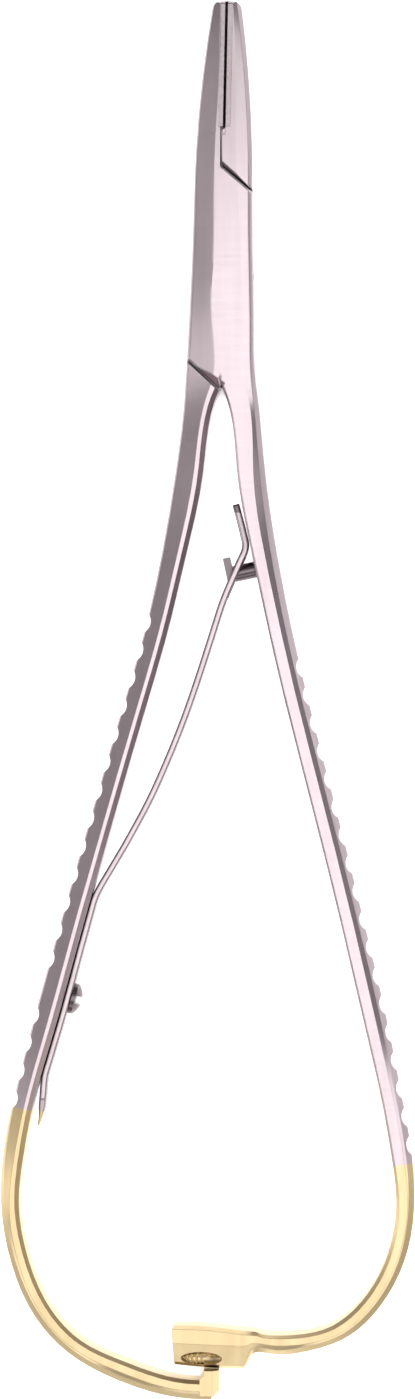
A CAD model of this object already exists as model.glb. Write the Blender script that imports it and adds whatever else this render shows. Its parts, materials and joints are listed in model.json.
import json

import bmesh
import bpy
import numpy as np
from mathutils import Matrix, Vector

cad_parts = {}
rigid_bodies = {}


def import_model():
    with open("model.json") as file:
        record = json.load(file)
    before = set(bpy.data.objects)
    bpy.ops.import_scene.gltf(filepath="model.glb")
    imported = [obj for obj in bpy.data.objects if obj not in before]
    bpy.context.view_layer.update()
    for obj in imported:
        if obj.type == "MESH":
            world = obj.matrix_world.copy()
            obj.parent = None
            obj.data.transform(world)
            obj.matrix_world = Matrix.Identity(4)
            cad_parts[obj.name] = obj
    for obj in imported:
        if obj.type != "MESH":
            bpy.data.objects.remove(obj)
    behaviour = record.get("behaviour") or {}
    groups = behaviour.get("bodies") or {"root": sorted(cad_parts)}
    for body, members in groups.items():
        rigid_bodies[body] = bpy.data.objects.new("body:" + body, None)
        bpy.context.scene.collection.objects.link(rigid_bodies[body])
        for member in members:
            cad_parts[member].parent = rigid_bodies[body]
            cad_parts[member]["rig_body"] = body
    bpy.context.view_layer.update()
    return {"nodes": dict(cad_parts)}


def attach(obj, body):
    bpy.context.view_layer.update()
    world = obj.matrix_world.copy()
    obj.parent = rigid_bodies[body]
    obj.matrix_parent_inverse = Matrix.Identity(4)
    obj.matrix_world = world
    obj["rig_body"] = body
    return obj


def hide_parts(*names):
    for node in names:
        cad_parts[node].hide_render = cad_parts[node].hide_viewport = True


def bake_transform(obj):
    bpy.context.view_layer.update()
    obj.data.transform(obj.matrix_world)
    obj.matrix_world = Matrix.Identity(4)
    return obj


# Needle holder with a box lock, lying flat on a white table.
# Metres throughout: +Y runs to the jaws, +Z up, and the hinge axis goes through the origin.

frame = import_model()


# The two halves
# Each is one drop forging of martensitic stainless steel, ground to flat facets and satin brushed.
# The ends of both handles are gold plated up to a sharp line and polished.

MM = 0.001
STEEL = "#d2c5c9"
STEEL_DULL = "#bdb0b5"
STEEL_WORN = "#eee6e6"
GOLD = "#e3cfa4"
GOLD_DEEP = "#d3bb8d"
GRIME = "#2a2425"
GRIME_REACH = 0.55 * MM
GRIME_SKY = (0.2, 0.62)
MERGE_REACH = 0.0005 * MM
EDGE_RADIUS = 0.1 * MM
RIM_COSINES = (0.998, 0.93)
RIM_SHARE = 0.7
BOX_ROUNDING = 0.45 * MM
BOX_REACHES = (15.0 * MM, 9.0 * MM)
RIVET_RADIUS = 1.6 * MM
RIVET_MARGIN = 0.3 * MM
BRUSH_PITCH = 0.35 * MM
BRUSH_LENGTH = 5.0 * MM
BRUSH_DEPTH = 0.01 * MM
BRUSH_STRENGTH = 0.1
STREAK_WIDTH = 1.6 * MM
STREAK_LENGTH = 26.0 * MM
SCALE_TURNS = (0.6, 0.9)
PLATING_BLUR = 0.12 * MM
# Each plating line: its y at x = 0, and its slope.
LEFT_PLATING = (-106.0 * MM, -0.18)
RIGHT_PLATING = (-111.0 * MM, 0.12)
# Each roughness: its swing with the pattern, and its least.
SATIN = (0.12, 0.24)
POLISH = (0.1, 0.28)


def linear(colour):
    """Turn an sRGB hex colour into the linear one that a shader takes."""
    channels = np.array([int(colour[start:start + 2], 16) for start in (1, 3, 5)]) / 255
    low = channels / 12.92
    high = ((channels + 0.055) / 1.055) ** 2.4
    return (*np.where(channels <= 0.04045, low, high), 1.0)


def add_node(tree, kind, inputs=None, **settings):
    """Add one node with its settings.

    An input is given by name or number, as a value or as another node's output.
    """
    node = tree.nodes.new(kind)
    for name, setting in settings.items():
        setattr(node, name, setting)
    for name, given in (inputs or {}).items():
        if isinstance(given, bpy.types.NodeSocket):
            tree.links.new(given, node.inputs[name])
        else:
            node.inputs[name].default_value = given
    return node


def plated_steel(name, plating_y, plating_slope, bare=STEEL, dull=STEEL_DULL, scale=None, scale_y=1.0):
    """Satin stainless steel, gold plated where y < plating_y + plating_slope * x.

    Bare steel scatters light softly across its brush marks, and the plating is smooth and mirrors the room.
    A scale colour is kept by faces that turn sideways, which aren't ground, and by the end beyond scale_y.
    """
    material = bpy.data.materials.new(name)
    material.use_nodes = True
    tree = material.node_tree
    surface = tree.nodes["Principled BSDF"]
    place = add_node(tree, "ShaderNodeTexCoord").outputs["Object"]
    axes = add_node(tree, "ShaderNodeSeparateXYZ", {"Vector": place}).outputs

    # 1 on the plating and 0 on the bare steel.
    line = add_node(tree, "ShaderNodeMath", {0: axes["X"], 1: plating_slope, 2: plating_y},
                    operation="MULTIPLY_ADD").outputs[0]
    below = add_node(tree, "ShaderNodeMath", {0: line, 1: axes["Y"]}, operation="SUBTRACT").outputs[0]
    plated = add_node(tree, "ShaderNodeMapRange", {
        "Value": below, "From Min": -PLATING_BLUR, "From Max": PLATING_BLUR,
    }, interpolation_type="SMOOTHSTEP").outputs["Result"]

    # Brush marks run across the instrument.
    # Real ones are about 0.05 mm apart, and these are coarse enough to show.
    stretched = add_node(tree, "ShaderNodeMapping", {"Vector": place, "Scale": (
        1 / BRUSH_LENGTH, 1 / BRUSH_PITCH, 1 / BRUSH_LENGTH)}).outputs["Vector"]
    brush = add_node(tree, "ShaderNodeTexNoise", {"Vector": stretched, "Scale": 1.0, "Detail": 3.0,
                                                  "Roughness": 0.6}).outputs["Fac"]

    # Polishing along the instrument leaves broad faint streaks.
    drawn_out = add_node(tree, "ShaderNodeMapping", {"Vector": place, "Scale": (
        1 / STREAK_WIDTH, 1 / STREAK_LENGTH, 1 / STREAK_WIDTH)}).outputs["Vector"]
    streak = add_node(tree, "ShaderNodeTexNoise", {"Vector": drawn_out, "Scale": 1.0, "Detail": 3.0,
                                                   "Roughness": 0.55}).outputs["Fac"]

    # Edges are slightly rounded, and handling polishes them brighter than the faces.
    # The rivet is ground flush, so its rim isn't rounded.
    # Grinding blends the broad facets of the box softly into each other.
    along = add_node(tree, "ShaderNodeMath", {0: axes["Y"]}, operation="ABSOLUTE").outputs[0]
    softness = add_node(tree, "ShaderNodeMapRange", {
        "Value": along, "From Min": BOX_REACHES[0], "From Max": BOX_REACHES[1],
        "To Min": EDGE_RADIUS, "To Max": BOX_ROUNDING,
    }).outputs["Result"]
    rounded = add_node(tree, "ShaderNodeBevel", {"Radius": softness}, samples=8).outputs["Normal"]
    flat = add_node(tree, "ShaderNodeNewGeometry").outputs["Normal"]
    from_axis = add_node(tree, "ShaderNodeVectorMath", {0: place, 1: (1, 1, 0)},
                         operation="MULTIPLY").outputs[0]
    radius = add_node(tree, "ShaderNodeVectorMath", {0: from_axis}, operation="LENGTH").outputs["Value"]
    beyond = add_node(tree, "ShaderNodeMath", {0: radius, 1: RIVET_RADIUS + RIVET_MARGIN},
                      operation="GREATER_THAN").outputs[0]
    rounded = add_node(tree, "ShaderNodeMix", {0: beyond, 4: flat, 5: rounded},
                       data_type="VECTOR").outputs[1]
    facing = add_node(tree, "ShaderNodeVectorMath", {0: rounded, 1: flat},
                      operation="DOT_PRODUCT").outputs["Value"]
    rim = add_node(tree, "ShaderNodeMapRange", {
        "Value": facing, "From Min": RIM_COSINES[0], "From Max": RIM_COSINES[1], "To Max": RIM_SHARE,
    }, interpolation_type="SMOOTHSTEP").outputs["Result"]

    steel = add_node(tree, "ShaderNodeMix", {0: streak, 6: linear(bare), 7: linear(dull)},
                     data_type="RGBA").outputs[2]
    steel = add_node(tree, "ShaderNodeMix", {0: rim, 6: steel, 7: linear(STEEL_WORN)},
                     data_type="RGBA").outputs[2]
    if scale:
        sideways = add_node(tree, "ShaderNodeSeparateXYZ", {"Vector": flat}).outputs["X"]
        sideways = add_node(tree, "ShaderNodeMath", {0: sideways}, operation="ABSOLUTE").outputs[0]
        upright = add_node(tree, "ShaderNodeMapRange", {
            "Value": sideways, "From Min": SCALE_TURNS[0], "From Max": SCALE_TURNS[1],
        }).outputs["Result"]
        end = add_node(tree, "ShaderNodeMath", {0: axes["Y"], 1: scale_y},
                       operation="GREATER_THAN").outputs[0]
        kept = add_node(tree, "ShaderNodeMath", {0: upright, 1: end}, operation="MAXIMUM").outputs[0]
        steel = add_node(tree, "ShaderNodeMix", {0: kept, 6: steel, 7: linear(scale)},
                         data_type="RGBA").outputs[2]
    gold = add_node(tree, "ShaderNodeMix", {0: streak, 6: linear(GOLD), 7: linear(GOLD_DEEP)},
                    data_type="RGBA").outputs[2]
    colour = add_node(tree, "ShaderNodeMix", {0: plated, 6: steel, 7: gold}, data_type="RGBA").outputs[2]

    # Old polish and dirt stay dark in the joints and corners.
    open_sky = add_node(tree, "ShaderNodeAmbientOcclusion", {"Distance": GRIME_REACH},
                        samples=8).outputs["AO"]
    clean = add_node(tree, "ShaderNodeMapRange", {
        "Value": open_sky, "From Min": GRIME_SKY[0], "From Max": GRIME_SKY[1],
    }, interpolation_type="SMOOTHSTEP").outputs["Result"]
    colour = add_node(tree, "ShaderNodeMix", {0: clean, 6: linear(GRIME), 7: colour},
                      data_type="RGBA").outputs[2]
    tree.links.new(colour, surface.inputs["Base Color"])

    satin = add_node(tree, "ShaderNodeMath", {0: brush, 1: SATIN[0], 2: SATIN[1]},
                     operation="MULTIPLY_ADD").outputs[0]
    polish = add_node(tree, "ShaderNodeMath", {0: streak, 1: POLISH[0], 2: POLISH[1]},
                      operation="MULTIPLY_ADD").outputs[0]
    roughness = add_node(tree, "ShaderNodeMix", {0: plated, 2: satin, 3: polish}).outputs[0]
    tree.links.new(roughness, surface.inputs["Roughness"])
    surface.inputs["Metallic"].default_value = 1.0

    bare_share = add_node(tree, "ShaderNodeMath", {0: 1.0, 1: plated}, operation="SUBTRACT").outputs[0]
    strength = add_node(tree, "ShaderNodeMath", {0: bare_share, 1: BRUSH_STRENGTH},
                        operation="MULTIPLY").outputs[0]
    bump = add_node(tree, "ShaderNodeBump", {"Strength": strength, "Distance": BRUSH_DEPTH, "Height": brush,
                                             "Normal": rounded}).outputs["Normal"]
    tree.links.new(bump, surface.inputs["Normal"])
    return material


def ground_copy(node, name, material):
    """Copy a CAD node's mesh and merge its loose triangles into one closed skin.

    The skin keeps the true surface's normals, without those of triangles that collapse in the merge.
    """
    source = frame["nodes"][node].data
    normals = np.empty(len(source.loops) * 3, np.float32)
    source.corner_normals.foreach_get("vector", normals)
    places = np.empty(len(source.vertices) * 3, np.float32)
    source.vertices.foreach_get("co", places)
    corners = np.empty(len(source.loops), np.int32)
    source.loops.foreach_get("vertex_index", corners)
    triangles = places.reshape(-1, 3)[corners].reshape(-1, 3, 3)
    sides = np.linalg.norm(triangles - np.roll(triangles, 1, axis=1), axis=2)
    normals = normals.reshape(-1, 3, 3)[sides.min(axis=1) > MERGE_REACH]
    mesh = bpy.data.meshes.new(name)
    skin = bmesh.new()
    skin.from_mesh(source)
    bmesh.ops.remove_doubles(skin, verts=skin.verts, dist=MERGE_REACH)
    skin.to_mesh(mesh)
    skin.free()
    mesh.polygons.foreach_set("use_smooth", np.ones(len(mesh.polygons), bool))
    mesh.normals_split_custom_set(normals.reshape(-1, 3))
    mesh.materials.clear()
    mesh.materials.append(material)
    piece = bpy.data.objects.new(name, mesh)
    bpy.context.scene.collection.objects.link(piece)
    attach(piece, frame["nodes"][node]["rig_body"])
    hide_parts(node)
    return piece


left_steel = plated_steel("satin_steel_left_handle", *LEFT_PLATING)
right_steel = plated_steel("satin_steel_right_handle", *RIGHT_PLATING)
ground_copy("tongue_half", "tongue_half_ground", left_steel)
ground_copy("box_half", "box_half_ground", right_steel)


# Rivet of the box lock
# A plain steel pin, pressed through the box and ground flush with both faces.
# Only a faint ring of it shows.

ground_copy("pivot_pin", "pivot_pin_ground", right_steel)


# Jaw inserts
# Strips of sintered hard metal, brazed into both jaws and ground.
# Their gripping faces are cut crosswise, and dirt in the cuts makes them dark.

CARBIDE = "#d2c8ca"
CARBIDE_DARK = "#b3a9ab"
GRIP = "#3a3436"
GRIP_DARK = "#1e1a1b"
GRAIN_SIZE = 0.4 * MM
GRAIN_ROUGHNESS = (0.2, 0.3)


def hard_metal(name, light, dark):
    """Ground hard metal with a fine grain, from light to dark."""
    material = bpy.data.materials.new(name)
    material.use_nodes = True
    tree = material.node_tree
    surface = tree.nodes["Principled BSDF"]
    place = add_node(tree, "ShaderNodeTexCoord").outputs["Object"]
    grain = add_node(tree, "ShaderNodeTexNoise", {"Vector": place, "Scale": 1 / GRAIN_SIZE,
                                                  "Detail": 4.0}).outputs["Fac"]
    colour = add_node(tree, "ShaderNodeMix", {0: grain, 6: linear(light), 7: linear(dark)},
                      data_type="RGBA").outputs[2]
    tree.links.new(colour, surface.inputs["Base Color"])
    roughness = add_node(tree, "ShaderNodeMath", {0: grain, 1: GRAIN_ROUGHNESS[0], 2: GRAIN_ROUGHNESS[1]},
                         operation="MULTIPLY_ADD").outputs[0]
    tree.links.new(roughness, surface.inputs["Roughness"])
    surface.inputs["Metallic"].default_value = 1.0
    return material


carbide = hard_metal("ground_tungsten_carbide", CARBIDE, CARBIDE_DARK)
gripping_metal = hard_metal("rough_tungsten_carbide", GRIP, GRIP_DARK)
ground_copy("left_insert", "left_insert_ground", carbide)
ground_copy("right_insert", "right_insert_ground", carbide)

# The gripping faces, in millimetres. Real rows of pyramids are about 0.3 mm apart, and these 0.5 mm.
MIDDLE_Z = 3.0
TIP_Y = 33.65
INSERT_END_Y = 18.2
SLIT_TIP_X = 0.67
SLIT_ROOT_X = 0.37
HALF_SLIT = 0.175
PYRAMID_PITCH = 0.5
PYRAMID_HEIGHT = 0.24
PYRAMID_STEPS = (12, 8)
FACE_DEPTH = 4.0
FACE_INSET = 0.35
FACE_SINK = 0.01
ROOT_MARGIN = 0.05
END_MARGIN = 0.08
# Half depths of the jaw at three places along it: their y, and the half depths.
JAW_HALF_DEPTHS = ([14.1, 23.7, 33.3], [2.55, 1.95, 1.3])


def gripping_face(name, side, body):
    """Cut the pyramids of one insert's gripping face, on the slit's left (side -1) or right (side 1).

    At (s, t), in double pitches along the slit and up the jaw, the left face stands out by height * r(s, t)
    and the right one by height * (1 - r(s, t)), so that they mesh. Here r = min(tri(s + t), tri(s - t)),
    where tri(a) = |2 frac(a) - 1|. The rim is sunk into the insert.
    """
    length = TIP_Y - INSERT_END_Y - END_MARGIN
    rows = int(length / PYRAMID_PITCH) * PYRAMID_STEPS[0]
    columns = int(FACE_DEPTH / PYRAMID_PITCH) * PYRAMID_STEPS[1]
    along = np.linspace(0, 1, rows + 1)[:, None] * np.ones(columns + 1)[None, :]
    up = np.ones(rows + 1)[:, None] * np.linspace(-1, 1, columns + 1)[None, :]
    y = INSERT_END_Y + ROOT_MARGIN + along * length
    half_depth = np.interp(y, *JAW_HALF_DEPTHS) - FACE_INSET
    z = MIDDLE_Z + up * half_depth
    slit_x = SLIT_ROOT_X + (y - INSERT_END_Y) / (TIP_Y - INSERT_END_Y) * (SLIT_TIP_X - SLIT_ROOT_X)
    s = y / PYRAMID_PITCH / 2
    t = z / PYRAMID_PITCH / 2
    rise = np.minimum(np.abs(2 * ((s + t) % 1) - 1), np.abs(2 * ((s - t) % 1) - 1))
    rise = rise if side < 0 else 1 - rise
    edge = (up ** 2 >= 1) | (along <= 0) | (along >= 1)
    x = slit_x + side * (HALF_SLIT + FACE_SINK - np.where(edge, 0.0, FACE_SINK + rise * PYRAMID_HEIGHT))
    points = np.stack([x, y, z], axis=2).reshape(-1, 3) * MM
    index = np.arange(points.shape[0]).reshape(rows + 1, columns + 1)
    quads = np.stack([index[:-1, :-1], index[1:, :-1], index[1:, 1:], index[:-1, 1:]], axis=2)
    quads = quads.reshape(-1, 4)
    if side > 0:
        quads = quads[:, ::-1]
    mesh = bpy.data.meshes.new(name)
    mesh.from_pydata(points.tolist(), [], quads.tolist())
    mesh.materials.append(gripping_metal)
    piece = bpy.data.objects.new(name, mesh)
    bpy.context.scene.collection.objects.link(piece)
    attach(piece, body)
    return piece


gripping_face("left_gripping_face", -1, "box_side")
gripping_face("right_gripping_face", 1, "tongue_side")


# Leaf spring
# One strip of hardened spring steel, set on edge and bowed, with its lower tip gold plated.
# Its edges are ground bright, and its broad faces and its free end keep the dark scale of hardening.

SPRING = "#cabec1"
SPRING_DULL = "#b3a7ab"
SPRING_SCALE = "#7b7074"
SCALE_END_Y = -28.9 * MM

spring_steel = plated_steel("satin_spring_steel", *LEFT_PLATING, bare=SPRING, dull=SPRING_DULL,
                            scale=SPRING_SCALE, scale_y=SCALE_END_Y)

# Middle line of the strip in millimetres, from its gold tip along the seat on the left shank to its free end.
LEAF_LINE = [(-22.45, -103.8), (-22.11, -102.5), (-21.85, -100.5), (-21.69, -98.5), (-21.51, -97.4),
             (-20.91, -95.4), (-20.35, -93.5), (-19.75, -91.5), (-19.21, -89.6), (-18.36, -86.5),
             (-17.64, -83.8), (-17.1, -81.8), (-16.57, -79.9), (-16.02, -77.9), (-15.47, -76.0),
             (-14.73, -74.5), (-13.84, -73.0), (-12.66, -71.0), (-11.38, -68.8), (-8.8, -64.0),
             (-6.55, -59.0), (-4.63, -54.2), (-2.91, -49.3), (-1.36, -44.5), (0.23, -39.6),
             (2.05, -35.32), (2.9, -33.2), (2.62, -31.3), (1.75, -27.9)]
LEAF_THICKNESS = 0.82
LEAF_FOOT_SHARE = 0.25
LEAF_FOOT_LENGTH = 3.0
# Depths of the strip from its lower to its upper edge: y of four places along it, and the depths there.
LEAF_DEPTHS = ([-103.8, -100.5, -34.2, -27.9], [0.8, 4.0, 4.0, 2.8])
SLOT_ENDS = (-39.2, -34.2)
SLOT_WIDTH = 2.3
SLOT_CELLS = 3
LEAF_STEPS = 360
LEAF_ROUNDING = 0.27
LEAF_EDGE_STEPS = (0.0, 0.013, 0.04, 0.09, 0.16, 0.27)
LEAF_EDGE_SHARE = 0.35
LEAF_WELD = 0.002 * MM


def smooth_line(points, count):
    """Pass a smooth line through points: Catmull-Rom cubics, sampled evenly along their chords."""
    given = np.array(points, float)
    padded = np.vstack([2 * given[0] - given[1], given, 2 * given[-1] - given[-2]])
    chord = np.concatenate([[0], np.cumsum(np.linalg.norm(np.diff(given, axis=0), axis=1))])
    wanted = np.linspace(0, chord[-1], count)
    piece = np.clip(np.searchsorted(chord, wanted, side="right") - 1, 0, len(given) - 2)
    share = ((wanted - chord[piece]) / (chord[piece + 1] - chord[piece]))[:, None]
    p0, p1, p2, p3 = (padded[piece + offset] for offset in range(4))
    return 0.5 * (2 * p1 + (p2 - p0) * share + (2 * p0 - 5 * p1 + 4 * p2 - p3) * share ** 2
                  + (3 * p1 - p0 - 3 * p2 + p3) * share ** 3)


def bent_strip(name, material):
    """Bend the strip: it stands on edge along the middle line, and its slot lets the hook's stud through.

    A point is at line(u) + (0, 0, v * depth(u) / 2) for v from -1 to 1, without the slot's own cells.
    At d mm from its upper or lower edge, its share of the full thickness is
    s + (1 - s) * sqrt(1 - (1 - d / r) ** 2), where r is the rounding and s the edge's own share.
    """
    line = smooth_line(LEAF_LINE, LEAF_STEPS)
    half = np.interp(line[:, 1], *LEAF_DEPTHS)[:, None] / 2
    slot_share = SLOT_WIDTH / 2 / half
    upper_edge = 1 - np.array(LEAF_EDGE_STEPS)[None, :] / half
    levels = np.hstack([-upper_edge, -slot_share, -slot_share / 2, slot_share / 2, slot_share, upper_edge])
    levels = np.sort(np.clip(levels, -1, 1), axis=1)
    z = MIDDLE_Z + levels * half
    points = np.stack([np.broadcast_to(line[:, :1], z.shape), np.broadcast_to(line[:, 1:], z.shape), z],
                      axis=2).reshape(-1, 3) * MM
    columns = levels.shape[1]
    index = np.arange(points.shape[0]).reshape(-1, columns)
    quads = []
    slot_column = len(LEAF_EDGE_STEPS)
    for row in range(LEAF_STEPS - 1):
        in_slot = SLOT_ENDS[0] < line[row, 1] < SLOT_ENDS[1]
        for column in range(columns - 1):
            if in_slot and slot_column <= column < slot_column + SLOT_CELLS:
                continue
            quads.append((index[row, column], index[row, column + 1],
                          index[row + 1, column + 1], index[row + 1, column]))
    mesh = bpy.data.meshes.new(name)
    mesh.from_pydata(points.tolist(), [], [tuple(int(corner) for corner in quad) for quad in quads])
    skin = bmesh.new()
    skin.from_mesh(mesh)
    bmesh.ops.remove_doubles(skin, verts=skin.verts, dist=LEAF_WELD)
    bmesh.ops.delete(skin, geom=[v for v in skin.verts if not v.link_faces], context="VERTS")
    skin.to_mesh(mesh)
    skin.free()
    mesh.polygons.foreach_set("use_smooth", np.ones(len(mesh.polygons), bool))
    mesh.materials.append(material)
    piece = bpy.data.objects.new(name, mesh)
    bpy.context.scene.collection.objects.link(piece)
    # The strip is ground to a point at its gold foot, and its edges are rounded.
    full = piece.vertex_groups.new(name="full_thickness")
    for vertex in mesh.vertices:
        from_foot = vertex.co.y / MM - LEAF_LINE[0][1]
        from_edge = np.interp(vertex.co.y / MM, *LEAF_DEPTHS) / 2 - abs(vertex.co.z / MM - MIDDLE_Z)
        flatness = 1 - np.clip(from_edge / LEAF_ROUNDING, 0, 1)
        rounded = LEAF_EDGE_SHARE + (1 - LEAF_EDGE_SHARE) * np.sqrt(1 - flatness ** 2)
        pointed = min(1.0, LEAF_FOOT_SHARE + from_foot / LEAF_FOOT_LENGTH)
        full.add([vertex.index], rounded * pointed, "REPLACE")
    thick = piece.modifiers.new("thickness", "SOLIDIFY")
    thick.thickness = LEAF_THICKNESS * MM
    thick.offset = 0.0
    thick.vertex_group = full.name
    return piece


leaf = bent_strip("leaf_spring_strip", spring_steel)
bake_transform(leaf)
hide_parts("leaf_spring")


# Screw and hook of the leaf spring
# Turned stainless steel, greyer than the forgings.
# A slotted dome screw is on the left shank, and a stud with a flat head on the right one.

FITTING = "#83797c"
FITTING_DULL = "#665d60"
NO_PLATING = (-1.0, 0.0)

fitting = plated_steel("turned_steel", *NO_PLATING, bare=FITTING, dull=FITTING_DULL)
ground_copy("spring_screw", "spring_screw_turned", fitting)
ground_copy("spring_hook", "spring_hook_turned", fitting)


# Table
# A seamless sheet of white paper under the instrument.

TABLE_HALF = 1.5
SHADE_REACH = 3 * MM
SHADE_SKY = (0.05, 0.3)


def white_paper(name):
    """Bright matt paper, dark only where the instrument shuts the light out, as under the jaws' slit."""
    material = bpy.data.materials.new(name)
    material.use_nodes = True
    tree = material.node_tree
    surface = tree.nodes["Principled BSDF"]
    surface.inputs["Base Color"].default_value = linear("#ffffff")
    surface.inputs["Roughness"].default_value = 1.0
    surface.inputs["Emission Color"].default_value = linear("#ffffff")
    open_sky = add_node(tree, "ShaderNodeAmbientOcclusion", {"Distance": SHADE_REACH},
                        samples=16).outputs["AO"]
    glow = add_node(tree, "ShaderNodeMapRange", {
        "Value": open_sky, "From Min": SHADE_SKY[0], "From Max": SHADE_SKY[1],
    }, interpolation_type="SMOOTHSTEP").outputs["Result"]
    tree.links.new(glow, surface.inputs["Emission Strength"])
    return material


corners = [(-TABLE_HALF, -TABLE_HALF, 0), (TABLE_HALF, -TABLE_HALF, 0), (TABLE_HALF, TABLE_HALF, 0),
           (-TABLE_HALF, TABLE_HALF, 0)]
sheet = bpy.data.meshes.new("table")
sheet.from_pydata(corners, [], [(0, 1, 2, 3)])
sheet.materials.append(white_paper("white_paper"))
table = bpy.data.objects.new("table", sheet)
bpy.context.scene.collection.objects.link(table)


# Light
# One broad soft box hangs over the instrument and a little to its right.
# Weaker ones stand beyond the handles and low on the left, in a grey room.

ROOM_GREY = "#868284"


def soft_box(name, place, aim, width, height, power):
    """A rectangular area light at place, turned to aim."""
    light = bpy.data.lights.new(name, "AREA")
    light.shape = "RECTANGLE"
    light.size = width
    light.size_y = height
    light.energy = power
    lamp = bpy.data.objects.new(name, light)
    lamp.location = place
    lamp.rotation_euler = (Vector(aim) - Vector(place)).to_track_quat("-Z", "Y").to_euler()
    bpy.context.scene.collection.objects.link(lamp)


soft_box("key", place=(0.25, -0.04, 1.2), aim=(0, -0.05, 0), width=0.8, height=1.35, power=6.2)
soft_box("front", place=(0.1, -1.15, 0.75), aim=(0, -0.1, 0), width=1.4, height=0.5, power=3.0)
soft_box("left", place=(-1.2, -0.1, 0.35), aim=(0, -0.1, 0), width=0.4, height=1.4, power=3.0)

room = bpy.data.worlds.new("room")
room.use_nodes = True
room.node_tree.nodes["Background"].inputs["Color"].default_value = linear(ROOM_GREY)
room.node_tree.nodes["Background"].inputs["Strength"].default_value = 1.0
bpy.context.scene.world = room
bpy.context.scene.view_settings.view_transform = "Standard"


# Camera
# It looks straight down from 0.72 m, with the whole instrument upright in a 415 by 1399 frame.

CAMERA_DISTANCE = 0.72
VISIBLE_HEIGHT = 170.4 * MM
FACE_Z = 6.0 * MM
AIM = Vector((-1.64 * MM, -51.7 * MM, FACE_Z))
YAW = np.radians(2.0)
SENSOR = 36.0

lens = bpy.data.cameras.new("camera")
lens.sensor_width = SENSOR
lens.lens = SENSOR * CAMERA_DISTANCE / VISIBLE_HEIGHT
lens.clip_start = 0.01
camera = bpy.data.objects.new("camera", lens)
camera.location = AIM + CAMERA_DISTANCE * Vector((np.sin(YAW), 0, np.cos(YAW)))
camera.rotation_euler = (0, YAW, 0)
bpy.context.scene.collection.objects.link(camera)
bpy.context.scene.camera = camera
